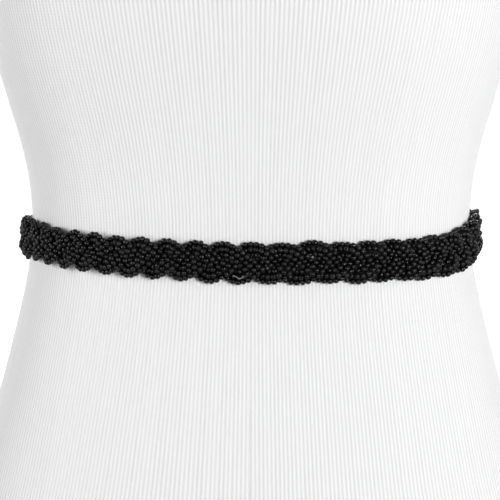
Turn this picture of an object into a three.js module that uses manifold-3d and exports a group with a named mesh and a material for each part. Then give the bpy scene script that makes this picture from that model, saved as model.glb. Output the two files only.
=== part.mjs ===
// A bead belt, braided flat from three bundles of bead strings, tied behind a limbless dress form.
// Millimetres, +Z up. The front faces -Y and the origin is the middle of the form's flat underside.
import * as THREE from "three";
import { mergeVertices } from "three/addons/utils/BufferGeometryUtils.js";
import Module from "manifold-3d";

const TURN = 2 * Math.PI;
// Lengths in millimetres: half the stretch a slope is taken over, and one too small to matter
const SLOPE_REACH = 0.5;
const TINY = 1e-3;
const degrees = THREE.MathUtils.degToRad;

// Materials
const BEAD_BLACK = { color: 0x141416, roughness: 0.35, metalness: 0 };
const THREAD_BLACK = { color: 0x0d0d0e, roughness: 0.8, metalness: 0 };
const KNIT_WHITE = { color: 0xf2f2f2, roughness: 0.9, metalness: 0 };

// Dress form: level sections from the flat underside up to the neck cap.
// A depth runs from the widest line to the front or the back, and power 2 is an ellipse.
const FORM_COLUMNS = ["height", "halfWidth", "front", "back", "power"];
const FORM_SECTIONS = [
  [0, 153, 104, 122.3, 2.25],
  [35, 148, 101, 119, 2.25],
  [65, 140.5, 98, 113, 2.2],
  [97, 131.3, 93, 105, 2.2],
  [141, 119.8, 87, 92, 2.2],
  [185, 113, 86.5, 84, 2.2],
  [228, 118.6, 93, 85, 2.2],
  [262, 129, 102, 90, 2.2],
  [300, 137.5, 114, 97, 2.15],
  [345, 142, 122, 103, 2.1],
  [385, 142, 116, 106, 2.1],
  [425, 147, 103, 104, 2.1],
  [460, 157, 90, 99, 2.1],
  [490, 168, 78, 92, 2.1],
  [515, 172, 69, 84, 2.1],
  [535, 165, 62, 76, 2.1],
  [553, 142, 57, 68, 2.05],
  [568, 107, 54, 61, 2],
  [580, 77, 53, 56, 2],
  [592, 62, 52, 53, 2],
  [606, 57, 51, 51, 2],
  [633, 55, 50, 50, 2],
];
const FORM_SIDES = 40;
const FORM_LEVEL_STEP = 16;
// The edge of the underside and of the neck cap: how far in, and how far from the end
const EDGE_COLUMNS = ["inset", "rise"];
const FORM_EDGE = [
  [5, 0],
  [1.5, 1.5],
  [0, 5],
];

// The belt's middle line on the form
const BELT_HEIGHT = 179.8;
const FRONT_DROP = degrees(4.8);
const SIDE_ROLL = degrees(1.27);
// How far it bends off that sloping plane, in millimetres at degrees round from the front
const LIFT_COLUMNS = ["angle", "lift"];
const LIFTS = [
  [-180, 4],
  [-150, -3],
  [-110, -7],
  [-70, 0],
  [55, 0],
  [88, 5],
  [112, -1],
  [150, 2],
  [180, 4],
];
const BELT_CLEARANCE = 0.5;

// The braid: its full width is twice the swing and one bundle, its thickness two bundles at a crossing
const BUNDLES = 3;
const BUNDLE_WIDTH = 7;
const BUNDLE_THICKNESS = 1.65;
const BRAID_SWING = 6.5;
const BRAID_DEPTH = 1.65;
// Corners of a bundle's lens-shaped section, as shares of its half width and half thickness
const LENS_COLUMNS = ["wide", "high"];
const LENS_CORNERS = [
  [1, 0],
  [0.6, 0.7],
  [0, 1],
  [-0.6, 0.7],
  [-1, 0],
  [-0.6, -0.7],
  [0, -1],
  [0.6, -0.7],
];
const STATIONS_PER_TURN = 12;
const BRAID_END_GAP = 31;
const END_TAPER = { length: 26, swing: 0.42, width: 0.4 };
const LEFT_NARROWING = { from: -30, to: -105, share: 0.09 };
// Where the top scallops fall, in millimetres round from the front, counted from the front scallop
const SCALLOP_COLUMNS = ["arc", "scallop"];
const SCALLOPS = [
  [-300, -22.02],
  [-180, -13.35],
  [-106, -8],
  [-67.3, -5],
  [-27.2, -2],
  [16, 1],
  [59.2, 4],
  [96.7, 7],
  [180, 13.02],
  [300, 21.7],
];

// Closure at the middle of the back: wound end caps, short ties, one knot and two tassels
const SEAM = 0.3;
const CAP = { length: 12, halfWidth: 5.2, halfThickness: 3.1, sides: 14, out: 1.1 };
// Half of a cap's outline: its share of the full girth at a distance in from the end
const CAP_COLUMNS = ["girth", "fromEnd"];
const CAP_OUTLINE = [
  [0, 0],
  [0.93, 0],
  [1, 0.5],
  [1, 1.6],
  [0.93, 2.2],
  [0.88, 6],
];
const TIE = { radius: 1.5, sides: 8, steps: 5, out: 1.1 };
const KNOT = { size: 1.85, radius: 1.45, depth: 2, steps: 48, sides: 8, out: 1.9, flat: 0.86, waist: 2.81 };
// The tassels' middles stand apart and splay as they fall
const TASSEL = { apart: 8.2, splay: 0.09 };
const NECK = { length: 4, radius: 1.5, from: 2.6, inHead: 1.5, steps: 3, sides: 8 };
const HEAD = { height: 11, halfWidth: 6.4, inner: 1, outer: 9.4, sides: 14 };
// A head's share of its full girth at each share of its height, from the top
const HEAD_COLUMNS = ["share", "girth"];
const HEAD_OUTLINE = [
  [0, 0.45],
  [0.12, 0.75],
  [0.3, 0.93],
  [0.55, 1],
  [0.85, 0.98],
  [1, 0.9],
];
const STRAND = { half: 0.98, sides: 4, length: 64, steps: 7, rootPitch: 2.36, endPitch: 3.1, root: 3 };
// How uneven the strands' ends are, and how far the unevenness moves on from strand to strand and row to row
const ENDS = { uneven: 4, perStrand: 5, perRow: 2 };
// Rows of strands in a tassel: how many, and how far each row lies off the form at its root and its end
const ROW_COLUMNS = ["count", "rootOut", "endOut"];
const STRAND_ROWS = [
  [4, 2.7, 1.9],
  [5, 5.1, 4.3],
  [4, 7.5, 6.7],
];

const wasm = await Module();
wasm.setup();

const named = (columns, rows) =>
  rows.map((row) => Object.fromEntries(row.map((value, i) => [columns[i], value])));

// Natural cubic spline through (x, y): a function that gives [value, slope]
function spline(xs, ys) {
  const n = xs.length;
  const h = xs.slice(1).map((x, i) => x - xs[i]);
  const curve = new Array(n).fill(0);
  const upper = new Array(n).fill(0);
  const right = new Array(n).fill(0);
  for (let i = 1; i < n - 1; i++) {
    const jump = 6 * ((ys[i + 1] - ys[i]) / h[i] - (ys[i] - ys[i - 1]) / h[i - 1]);
    const pivot = 2 * (h[i - 1] + h[i]) - h[i - 1] * upper[i - 1];
    upper[i] = h[i] / pivot;
    right[i] = (jump - h[i - 1] * right[i - 1]) / pivot;
  }
  for (let i = n - 2; i > 0; i--) curve[i] = right[i] - upper[i] * curve[i + 1];
  return (x) => {
    let i = 0;
    while (i < n - 2 && x > xs[i + 1]) i++;
    const [p, q] = [xs[i + 1] - x, x - xs[i]];
    const low = ys[i] / h[i] - (curve[i] * h[i]) / 6;
    const high = ys[i + 1] / h[i] - (curve[i + 1] * h[i]) / 6;
    const bend = (curve[i] * p ** 3 + curve[i + 1] * q ** 3) / (6 * h[i]);
    const slope = (curve[i + 1] * q ** 2 - curve[i] * p ** 2) / (2 * h[i]) + high - low;
    return [bend + low * p + high * q, slope];
  };
}

function splineOf(rows, from, to) {
  return spline(
    rows.map((row) => row[from]),
    rows.map((row) => row[to]),
  );
}

const formRows = named(FORM_COLUMNS, FORM_SECTIONS);
const formSplines = FORM_COLUMNS.slice(1).map((column) => splineOf(formRows, "height", column));
const lens = named(LENS_COLUMNS, LENS_CORNERS);
const scallopAt = splineOf(named(SCALLOP_COLUMNS, SCALLOPS), "arc", "scallop");
const lifts = named(LIFT_COLUMNS, LIFTS);

// The form's section at a height, with each depth's slope
function section(height) {
  const [halfWidth, front, back, power] = formSplines.map((at) => at(height));
  return { halfWidth, front, back, power: power[0] };
}

const signedPower = (value, power) => Math.sign(value) * Math.abs(value) ** power;

// A point of the form's surface: the angle is 0 at the front and grows towards +X
function formPoint(angle, height) {
  const { halfWidth, front, back, power } = section(height);
  const depth = Math.cos(angle) >= 0 ? front[0] : back[0];
  return new THREE.Vector3(
    halfWidth[0] * signedPower(Math.sin(angle), 2 / power),
    -depth * signedPower(Math.cos(angle), 2 / power),
    height,
  );
}

// The outward direction at a point that lies on the surface
function formNormal({ x, y, z }) {
  const { halfWidth, front, back, power } = section(z);
  const depth = y <= 0 ? front : back;
  const across = Math.abs(x / halfWidth[0]);
  const along = Math.abs(y / depth[0]);
  return new THREE.Vector3(
    (Math.sign(x) * across ** (power - 1)) / halfWidth[0],
    (Math.sign(y) * along ** (power - 1)) / depth[0],
    (-(across ** power) * halfWidth[1]) / halfWidth[0] - (along ** power * depth[1]) / depth[0],
  ).normalize();
}

// The nearest surface point's angle, for a point close to the surface
function formAngle({ x, y, z }) {
  const { halfWidth, front, back, power } = section(z);
  const depth = y <= 0 ? front[0] : back[0];
  return Math.atan2(signedPower(x / halfWidth[0], power / 2), signedPower(-y / depth, power / 2));
}

// A point close to the surface, laid on it and then moved out
function laid(point, out) {
  const on = formPoint(formAngle(point), point.z);
  return on.addScaledVector(formNormal(on), out);
}

function beltLift(angle) {
  const turned = THREE.MathUtils.radToDeg(angle);
  let i = 0;
  while (i < lifts.length - 2 && turned > lifts[i + 1].angle) i++;
  const [from, to] = lifts.slice(i, i + 2);
  const share = THREE.MathUtils.smoothstep(turned, from.angle, to.angle);
  return THREE.MathUtils.lerp(from.lift, to.lift, share);
}

// The belt's middle line: level but for its drop to the front, its roll and its bends at the sides
function beltHeight(angle) {
  const { x, y } = formPoint(angle, BELT_HEIGHT);
  const plane = BELT_HEIGHT + y * Math.tan(FRONT_DROP) - x * Math.tan(SIDE_ROLL);
  return plane + beltLift(angle);
}

const BELT_OUT = BELT_CLEARANCE + BRAID_DEPTH + BUNDLE_THICKNESS / 2;
const PATH_STEPS = 1440;

// The middle line measured round from the front: angles against arc length
const path = (() => {
  const angles = Array.from({ length: PATH_STEPS + 1 }, (_, i) => (i / PATH_STEPS - 0.5) * TURN);
  const points = angles.map((angle) => laid(formPoint(angle, beltHeight(angle)), BELT_OUT));
  const arcs = [0];
  for (let i = 1; i < points.length; i++) arcs.push(arcs[i - 1] + points[i].distanceTo(points[i - 1]));
  const front = arcs[PATH_STEPS / 2];
  return { angles, arcs: arcs.map((arc) => arc - front), left: -front, right: arcs.at(-1) - front };
})();
const BELT_LENGTH = path.right - path.left;

function angleAt(arc) {
  let wanted = arc;
  while (wanted > path.right) wanted -= BELT_LENGTH;
  while (wanted < path.left) wanted += BELT_LENGTH;
  let [low, high] = [0, PATH_STEPS];
  while (high - low > 1) {
    const middle = (low + high) >> 1;
    if (path.arcs[middle] > wanted) high = middle;
    else low = middle;
  }
  const share = (wanted - path.arcs[low]) / (path.arcs[high] - path.arcs[low]);
  return THREE.MathUtils.lerp(path.angles[low], path.angles[high], share);
}

function middlePoint(arc) {
  const angle = angleAt(arc);
  return formPoint(angle, beltHeight(angle));
}

// The belt's own frame at an arc length: along it, across it upwards, and out of the form
function beltFrame(arc) {
  const origin = middlePoint(arc);
  const along = middlePoint(arc + SLOPE_REACH).sub(middlePoint(arc - SLOPE_REACH)).normalize();
  const out = formNormal(origin);
  const up = out.clone().cross(along).normalize();
  return { origin, along, up, out };
}

// A point given along the belt, across it and out from its middle plane
function onBelt(arc, across, out) {
  const { origin, up } = beltFrame(arc);
  return laid(origin.addScaledVector(up, across), BELT_OUT + out);
}

// A closed body through rings of points, each end filled by a fan round its middle
function loft(rings) {
  const sides = rings[0].length;
  const points = rings.flat();
  const faces = [];
  for (let r = 0; r < rings.length - 1; r++)
    for (let i = 0; i < sides; i++) {
      const [a, b] = [r * sides + i, r * sides + ((i + 1) % sides)];
      faces.push(a, b, b + sides, a, b + sides, a + sides);
    }
  for (const ring of [0, rings.length - 1]) {
    const middle = new THREE.Vector3();
    for (const point of rings[ring]) middle.addScaledVector(point, 1 / sides);
    points.push(middle);
    for (let i = 0; i < sides; i++) {
      const [a, b] = [ring * sides + i, ring * sides + ((i + 1) % sides)];
      faces.push(...(ring === 0 ? [b, a, points.length - 1] : [a, b, points.length - 1]));
    }
  }
  return facingOut(points, faces);
}

// A body through rings that close on themselves, such as a knotted loop
function loopLoft(rings) {
  const sides = rings[0].length;
  const faces = [];
  for (let r = 0; r < rings.length; r++)
    for (let i = 0; i < sides; i++) {
      const [a, b] = [r * sides + i, r * sides + ((i + 1) % sides)];
      const next = ((r + 1) % rings.length) * sides;
      faces.push(a, b, next + ((i + 1) % sides), a, next + ((i + 1) % sides), next + i);
    }
  return facingOut(rings.flat(), faces);
}

function facingOut(points, faces) {
  let volume = 0;
  const normal = new THREE.Vector3();
  for (let i = 0; i < faces.length; i += 3) {
    const [a, b, c] = [points[faces[i]], points[faces[i + 1]], points[faces[i + 2]]];
    volume += a.dot(normal.crossVectors(b, c));
  }
  const geometry = new THREE.BufferGeometry().setFromPoints(points);
  geometry.setIndex(volume < 0 ? faces.toReversed() : faces);
  geometry.computeVertexNormals();
  return geometry;
}

// Rings round a path of points, each square to the path, with one side kept towards a given direction
function tubeRings(points, sides, halfWide, halfHigh, facing, closed = false) {
  const last = points.length - 1;
  return points.map((point, i) => {
    const before = points[closed ? (i + last) % (last + 1) : Math.max(i - 1, 0)];
    const after = points[closed ? (i + 1) % (last + 1) : Math.min(i + 1, last)];
    const along = after.clone().sub(before).normalize();
    const wide = along.clone().cross(facing(i)).normalize();
    const high = wide.clone().cross(along);
    return Array.from({ length: sides }, (_, k) => {
      const turn = ((k + 0.5) / sides) * TURN;
      return point
        .clone()
        .addScaledVector(wide, halfWide * Math.cos(turn))
        .addScaledVector(high, halfHigh * Math.sin(turn));
    });
  });
}

// The dress form
function formBody() {
  const edge = named(EDGE_COLUMNS, FORM_EDGE);
  const top = formRows.at(-1).height;
  const levels = edge.map(({ inset, rise }) => ({ height: rise, inset }));
  formRows.slice(1).forEach((row, i) => {
    const from = Math.max(formRows[i].height, edge.at(-1).rise);
    const to = Math.min(row.height, top - edge.at(-1).rise);
    const count = Math.ceil((to - from) / FORM_LEVEL_STEP);
    for (let k = 1; k <= count; k++) levels.push({ height: from + ((to - from) * k) / count, inset: 0 });
  });
  for (const { inset, rise } of edge.slice(0, -1).toReversed()) levels.push({ height: top - rise, inset });
  return loft(
    levels.map(({ height, inset }) =>
      Array.from({ length: FORM_SIDES }, (_, i) => {
        const point = formPoint((i / FORM_SIDES) * TURN, height);
        const reach = Math.hypot(point.x, point.y);
        return point.multiply(new THREE.Vector3(1 - inset / reach, 1 - inset / reach, 1));
      }),
    ),
  );
}

// The braid's share of its full width: a little narrower on the left, and drawn in at both ends
function braidScale(arc) {
  const { from, to, share } = LEFT_NARROWING;
  const narrowing = 1 - share * THREE.MathUtils.smoothstep(-arc, -from, -to);
  const toEnd = Math.min(arc - (path.left + BRAID_END_GAP), path.right - BRAID_END_GAP - arc);
  const open = THREE.MathUtils.smoothstep(toEnd, 0, END_TAPER.length);
  return {
    swing: narrowing * THREE.MathUtils.lerp(END_TAPER.swing, 1, open),
    width: narrowing * THREE.MathUtils.lerp(END_TAPER.width, 1, open),
  };
}

// A bundle's middle: it swings across the belt once a turn and passes over and under twice
function bundlePlace(bundle, arc) {
  const turn = (scallopAt(arc)[0] / 3 + bundle / BUNDLES) * TURN;
  return {
    across: BRAID_SWING * braidScale(arc).swing * Math.cos(turn),
    out: BRAID_DEPTH * Math.sin(2 * turn),
  };
}

// One bundle of bead strings as a flat lens-shaped strip
function bundleBody(bundle) {
  const [start, end] = [path.left + BRAID_END_GAP, path.right - BRAID_END_GAP];
  const turns = (scallopAt(end)[0] - scallopAt(start)[0]) / 3;
  const stations = Math.round(turns * STATIONS_PER_TURN);
  const rings = [];
  for (let i = 0; i <= stations; i++) {
    const arc = THREE.MathUtils.lerp(start, end, i / stations);
    const { across, out } = bundlePlace(bundle, arc);
    const [before, after] = [bundlePlace(bundle, arc - SLOPE_REACH), bundlePlace(bundle, arc + SLOPE_REACH)];
    const square = i === 0 || i === stations;
    const slope = square ? 0 : (after.across - before.across) / (2 * SLOPE_REACH);
    const stretch = Math.hypot(1, slope);
    const half = (BUNDLE_WIDTH / 2) * braidScale(arc).width;
    rings.push(
      lens.map((corner) => {
        const wide = half * corner.wide;
        const high = (BUNDLE_THICKNESS / 2) * corner.high;
        return onBelt(arc - (wide * slope) / stretch, across + wide / stretch, out + high);
      }),
    );
  }
  return loft(rings);
}

// A wound barrel round one end of the braid
function capBody(side) {
  const start = (side > 0 ? path.right : path.left) - side * (BRAID_END_GAP - SEAM);
  const { origin, along, up, out } = beltFrame(start - (side > 0 ? -1 : 1) * (CAP.length / 2));
  const half = named(CAP_COLUMNS, CAP_OUTLINE).map(
    ({ girth, fromEnd }) => new THREE.Vector2(girth, fromEnd - CAP.length / 2),
  );
  const rest = half.slice(0, -1).toReversed();
  const outline = [...half, ...rest.map(({ x, y }) => new THREE.Vector2(x, -y))];
  const geometry = new THREE.LatheGeometry(outline, CAP.sides);
  geometry.scale(CAP.halfWidth, 1, CAP.halfThickness);
  const place = new THREE.Matrix4().makeBasis(up, along, out);
  if (place.determinant() < 0) place.makeBasis(up.clone().negate(), along, out);
  place.setPosition(origin.addScaledVector(out, BELT_OUT + CAP.out));
  return closed(geometry.applyMatrix4(place));
}

// A geometry with its shared corners merged and its faces outwards
function closed(geometry) {
  geometry.deleteAttribute("normal");
  geometry.deleteAttribute("uv");
  const merged = mergeVertices(geometry, TINY);
  const position = merged.getAttribute("position");
  const points = Array.from({ length: position.count }, (_, i) =>
    new THREE.Vector3().fromBufferAttribute(position, i),
  );
  const faces = [];
  for (let i = 0; i < merged.index.count; i += 3) {
    const corners = [0, 1, 2].map((k) => merged.index.getX(i + k));
    if (new Set(corners).size === 3) faces.push(...corners);
  }
  return facingOut(points, faces);
}

// The straight stretch of cord between an end cap and the knot
function tieBody(side) {
  const end = side > 0 ? path.right : path.left;
  const capEnd = BRAID_END_GAP - 2 * SEAM - CAP.length;
  const knotEdge = KNOT.size * KNOT.waist + KNOT.radius + SEAM;
  const points = Array.from({ length: TIE.steps + 1 }, (_, i) => {
    const share = i / TIE.steps;
    const fromEnd = THREE.MathUtils.lerp(capEnd, knotEdge, share);
    return onBelt(end - side * fromEnd, 0, THREE.MathUtils.lerp(TIE.out, KNOT.out, share));
  });
  return loft(tubeRings(points, TIE.sides, TIE.radius, TIE.radius, () => new THREE.Vector3(0, 0, 1)));
}

// One round knot: a cord that runs three times over and under itself
function knotBody() {
  const { origin, along, up, out } = beltFrame(path.right);
  const middle = origin.addScaledVector(out, BELT_OUT + KNOT.out);
  const points = Array.from({ length: KNOT.steps }, (_, i) => {
    const turn = (i / KNOT.steps) * TURN;
    const reach = KNOT.size * (2 + Math.cos(3 * turn));
    return middle
      .clone()
      .addScaledVector(along, reach * Math.sin(2 * turn))
      .addScaledVector(up, -reach * Math.cos(2 * turn) * KNOT.flat)
      .addScaledVector(out, KNOT.depth * Math.sin(3 * turn));
  });
  const away = (i) => points[i].clone().sub(middle).addScaledVector(out, TINY);
  return loopLoft(tubeRings(points, KNOT.sides, KNOT.radius, KNOT.radius, away, true));
}

// A point on the back, given across, down from the knot's middle, and out from the form
function behind(across, drop, out) {
  const height = beltHeight(Math.PI) - drop;
  const { back, halfWidth, power } = section(height);
  const depth = back[0] * (1 - Math.abs(across / halfWidth[0]) ** power) ** (1 / power);
  return laid(new THREE.Vector3(across, depth, height), out);
}

function solidOf(geometry) {
  const merged = closed(geometry);
  return new wasm.Manifold(
    new wasm.Mesh({
      numProp: 3,
      vertProperties: new Float32Array(merged.getAttribute("position").array),
      triVerts: new Uint32Array(merged.index.array),
    }),
  );
}

// A tassel: a short neck, a head, and strands that part below it and follow the form down
function tasselBody(side) {
  const topDrop = KNOT.size * 3 * KNOT.flat + KNOT.radius + SEAM;
  const headTop = topDrop + NECK.length;
  const headEnd = headTop + HEAD.height;
  const at = (drop) => side * (TASSEL.apart + TASSEL.splay * Math.max(drop - headTop, 0));
  const headMiddle = (HEAD.inner + HEAD.outer) / 2;
  const headThick = (HEAD.outer - HEAD.inner) / 2;

  const neckPath = Array.from({ length: NECK.steps + 1 }, (_, i) => {
    const share = i / NECK.steps;
    return behind(
      THREE.MathUtils.lerp(side * NECK.from, at(headTop), share),
      topDrop + share * (NECK.length + NECK.inHead),
      THREE.MathUtils.lerp(BELT_OUT + KNOT.out, headMiddle, share),
    );
  });
  const sideways = () => new THREE.Vector3(0, 1, 0);
  let whole = solidOf(loft(tubeRings(neckPath, NECK.sides, NECK.radius, NECK.radius, sideways)));

  const headRings = named(HEAD_COLUMNS, HEAD_OUTLINE).map(({ share, girth }) => {
    const drop = headTop + share * HEAD.height;
    return Array.from({ length: HEAD.sides }, (_, k) => {
      const turn = (k / HEAD.sides) * TURN;
      return behind(
        at(drop) + HEAD.halfWidth * girth * Math.cos(turn),
        drop,
        headMiddle + headThick * girth * Math.sin(turn),
      );
    });
  });
  whole = whole.add(solidOf(loft(headRings)));

  named(ROW_COLUMNS, STRAND_ROWS).forEach((row, rowIndex) => {
    for (let i = 0; i < row.count; i++) {
      const place = i - (row.count - 1) / 2;
      const wave = Math.sin(ENDS.perStrand * place + ENDS.perRow * rowIndex + side);
      const end = headEnd + STRAND.length + ENDS.uneven * wave;
      const points = Array.from({ length: STRAND.steps + 1 }, (_, k) => {
        const share = k / STRAND.steps;
        const drop = THREE.MathUtils.lerp(headEnd - STRAND.root, end, share);
        const pitch = THREE.MathUtils.lerp(STRAND.rootPitch, STRAND.endPitch, share);
        return behind(at(drop) + place * pitch, drop, THREE.MathUtils.lerp(row.rootOut, row.endOut, share));
      });
      const half = STRAND.half * Math.SQRT2;
      whole = whole.add(solidOf(loft(tubeRings(points, STRAND.sides, half, half, sideways))));
    }
  });
  return geometryOf(whole);
}

function geometryOf(solid) {
  const { numProp, numVert, vertProperties, triVerts } = solid.getMesh();
  const points = Array.from(
    { length: numVert },
    (_, i) => new THREE.Vector3(...vertProperties.subarray(i * numProp, i * numProp + 3)),
  );
  return facingOut(points, Array.from(triVerts));
}

const group = new THREE.Group();
function addMesh(name, geometry, look) {
  const mesh = new THREE.Mesh(geometry, new THREE.MeshStandardMaterial(look));
  mesh.name = name;
  group.add(mesh);
}

addMesh("dress_form", formBody(), KNIT_WHITE);
for (let bundle = 0; bundle < BUNDLES; bundle++)
  addMesh(`braid_bundle_${bundle + 1}`, bundleBody(bundle), BEAD_BLACK);
for (const [label, side] of [["left", -1], ["right", 1]]) {
  addMesh(`end_cap_${label}`, capBody(side), THREAD_BLACK);
  addMesh(`tie_cord_${label}`, tieBody(side), THREAD_BLACK);
  addMesh(`tassel_${label}`, tasselBody(side), BEAD_BLACK);
}
addMesh("tie_knot", knotBody(), THREAD_BLACK);

export default group;
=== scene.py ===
"""Looks of a bead belt, braided flat from three bundles of bead strings, tied behind a limbless dress form.

Shapes are worked out in millimetres, as in the solids, and made into meshes in metres.
The front faces -Y, and an angle round the form is 0 at the front and grows towards +X.
"""

import math

import bpy
import numpy as np
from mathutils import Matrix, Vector


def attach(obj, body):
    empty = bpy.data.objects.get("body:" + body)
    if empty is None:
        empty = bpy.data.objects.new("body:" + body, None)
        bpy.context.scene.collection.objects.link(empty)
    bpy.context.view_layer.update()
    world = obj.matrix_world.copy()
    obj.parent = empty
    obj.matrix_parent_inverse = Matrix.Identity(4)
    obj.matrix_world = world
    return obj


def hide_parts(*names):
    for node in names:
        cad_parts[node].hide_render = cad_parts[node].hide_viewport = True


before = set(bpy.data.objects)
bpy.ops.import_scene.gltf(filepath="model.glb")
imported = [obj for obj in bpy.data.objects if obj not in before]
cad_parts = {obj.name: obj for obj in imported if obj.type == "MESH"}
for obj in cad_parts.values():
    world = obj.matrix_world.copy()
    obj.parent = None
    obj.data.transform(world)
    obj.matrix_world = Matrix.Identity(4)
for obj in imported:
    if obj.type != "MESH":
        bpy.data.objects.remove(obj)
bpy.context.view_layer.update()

MM = 0.001
TURN = 2 * math.pi
TINY = 1e-9
UPWARDS = (0, 0, 1)
BACKWARDS = (0, 1, 0)
SEED = 7

# The photograph's view: a long lens a little above the belt
CAMERA = {"distance": 1300, "elevation": 5, "aim_height": 171, "lens": 180, "sensor": 36, "shift": -0.002}

# The form and the belt's middle line, as in the solids
FORM_COLUMNS = ("height", "half_width", "front", "back", "power")
FORM_SECTIONS = (
    (0, 153, 104, 122.3, 2.25),
    (35, 148, 101, 119, 2.25),
    (65, 140.5, 98, 113, 2.2),
    (97, 131.3, 93, 105, 2.2),
    (141, 119.8, 87, 92, 2.2),
    (185, 113, 86.5, 84, 2.2),
    (228, 118.6, 93, 85, 2.2),
    (262, 129, 102, 90, 2.2),
    (300, 137.5, 114, 97, 2.15),
    (345, 142, 122, 103, 2.1),
    (385, 142, 116, 106, 2.1),
    (425, 147, 103, 104, 2.1),
    (460, 157, 90, 99, 2.1),
    (490, 168, 78, 92, 2.1),
    (515, 172, 69, 84, 2.1),
    (535, 165, 62, 76, 2.1),
    (553, 142, 57, 68, 2.05),
    (568, 107, 54, 61, 2),
    (580, 77, 53, 56, 2),
    (592, 62, 52, 53, 2),
    (606, 57, 51, 51, 2),
    (633, 55, 50, 50, 2),
)
EDGE_COLUMNS = ("inset", "rise")
FORM_EDGE = ((5, 0), (1.5, 1.5), (0, 5))
BELT_HEIGHT = 179.8
FRONT_DROP = math.radians(4.8)
SIDE_ROLL = math.radians(1.27)
LIFT_COLUMNS = ("angle", "lift")
LIFTS = ((-180, 4), (-150, -3), (-110, -7), (-70, 0), (55, 0), (88, 5), (112, -1), (150, 2), (180, 4))
BELT_CLEARANCE = 0.5
BUNDLES = 3
BUNDLE_THICKNESS = 1.65
BRAID_DEPTH = 1.65
BELT_OUT = BELT_CLEARANCE + BRAID_DEPTH + BUNDLE_THICKNESS / 2
BRAID_END_GAP = 31
END_TAPER = {"length": 26, "swing": 0.42, "width": 0.4}
SCALLOP_COLUMNS = ("arc", "scallop")
SCALLOPS = (
    (-300, -22.02),
    (-180, -13.35),
    (-106, -8),
    (-67.3, -5),
    (-27.2, -2),
    (16, 1),
    (59.2, 4),
    (96.7, 7),
    (180, 13.02),
    (300, 21.7),
)
PATH_STEPS = 1440
SLOPE_REACH = 0.5

# The closure behind, as in the solids
SEAM = 0.3
CAP = {"length": 12, "half_width": 5.2, "half_thickness": 3.1, "out": 1.1}
CAP_COLUMNS = ("girth", "from_end")
CAP_OUTLINE = ((0.93, 0), (1, 0.5), (1, 1.6), (0.93, 2.2), (0.88, 6))
TIE = {"radius": 1.5, "out": 1.1}
KNOT = {"size": 1.85, "radius": 1.45, "depth": 2, "out": 1.9, "flat": 0.86, "waist": 2.81}
TASSEL = {"apart": 8.2, "splay": 0.09}
NECK = {"length": 4, "radius": 1.5, "start": 2.6, "in_head": 1.5}
HEAD = {"height": 11, "half_width": 6.4, "inner": 1, "outer": 9.4}
HEAD_COLUMNS = ("share", "girth")
HEAD_OUTLINE = ((0, 0.45), (0.12, 0.75), (0.3, 0.93), (0.55, 1), (0.85, 0.98), (1, 0.9))
STRAND = {"length": 64, "root_pitch": 2.36, "end_pitch": 3.1}
ENDS = {"uneven": 4, "per_strand": 5, "per_row": 2}
ROW_COLUMNS = ("count", "root_out", "end_out")
STRAND_ROWS = ((4, 2.7, 1.9), (5, 5.1, 4.3), (4, 7.5, 6.7))
NECK_TOP = KNOT["size"] * 3 * KNOT["flat"] + KNOT["radius"] + SEAM
HEAD_TOP = NECK_TOP + NECK["length"]
HEAD_END = HEAD_TOP + HEAD["height"]
HEAD_MIDDLE = (HEAD["inner"] + HEAD["outer"]) / 2
HEAD_THICK = (HEAD["outer"] - HEAD["inner"]) / 2

# Beads: short round rings on thread, each of its own size and a little tilted
BEAD = {"radius": 1.44, "length": 2.55, "pitch": 2.84}
TASSEL_BEAD = {"radius": 1.1, "length": 1.9, "pitch": 2.1}
BEAD_RING = {"sides": 12, "hole": 0.3, "rim": 0.46, "roundness": 0.75}
# Angles along a bead's rounded side, in degrees
BEAD_BULGE = (-65, -35, 0, 35, 65)
GIRTHS = {"spread": 0.045, "least": 0.88, "most": 1.1}
LENGTHS = {"spread": 0.09, "least": 0.75, "most": 1.15}
TILT = {"usual": 0.18, "loose": 0.7, "loose_share": 0.12}
STRING_THREAD = {"radius": 0.35, "sides": 4}

# The braid of bead strings: how far they lie apart, swing across the belt and wander
STRINGS = (-1, 0, 1)
STRING_PITCH = 2.62
STRING_SWING = 6.6
LEFT_NARROWING = {"start": 30, "end": 105, "share": 0.02}
RIGHT_SLACK = {"start": 82, "end": 112, "stop": 150, "share": 0.09}
BUNDLE_CROWN = {"height": 0.75, "level": 0.6}
BREADTH = {"left": -0.05, "right": 0.07, "start": -40, "end": 20}
ROUTE = {"step": 0.25, "end_gap": 0.6}
WANDER = {"across": 0.2, "out": 0.35, "along": 9, "right": 1.6, "start": -20, "end": 60, "calm": 20}
SETTLE = {"rounds": 70, "size": 0.97, "lift": 0.12, "neighbours": 15, "push": 0.25, "home": 0.02, "own": 3}
# Scallops that stand out less or more than the rest: at the top where the rise is above 0, else at the bottom
LOOP_COLUMNS = ("arc", "rise", "length")
LOOPS = (
    (-140, -1.4, 14),
    (-18.5, -0.5, 4),
    (-5.5, -0.8, 4),
    (19, -0.5, 4),
    (32.5, 0.7, 7),
    (70, 0.6, 5),
    (86, -0.9, 5),
)
# Shares of the swing between which a bundle comes to lie at the edge
SWING_EDGE = (0.45, 0.9)
# A dark flat sheet low in each bundle: painted shade in the gaps between its beads, where it also hides the
# form
GAP_SHADE_SHEET = {"half_width": 3.2, "half_thick": 0.3, "out": -1.25, "lowest": 0.45, "sides": 8, "inset": 2, "step": 1}
# The bit of stringing thread that shows, in belt coordinates
LOOSE_COLUMNS = ("arc", "across", "out")
LOOSE_THREAD = ((-8.7, -6.4, 2.7), (-7, -6.7, 3.1), (-5.3, -7.7, 3.1), (-3.4, -6.6, 3.1), (-1.7, -6.2, 2.7))
CLEAR = {"radius": 0.13, "points": 24, "sides": 6}

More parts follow.
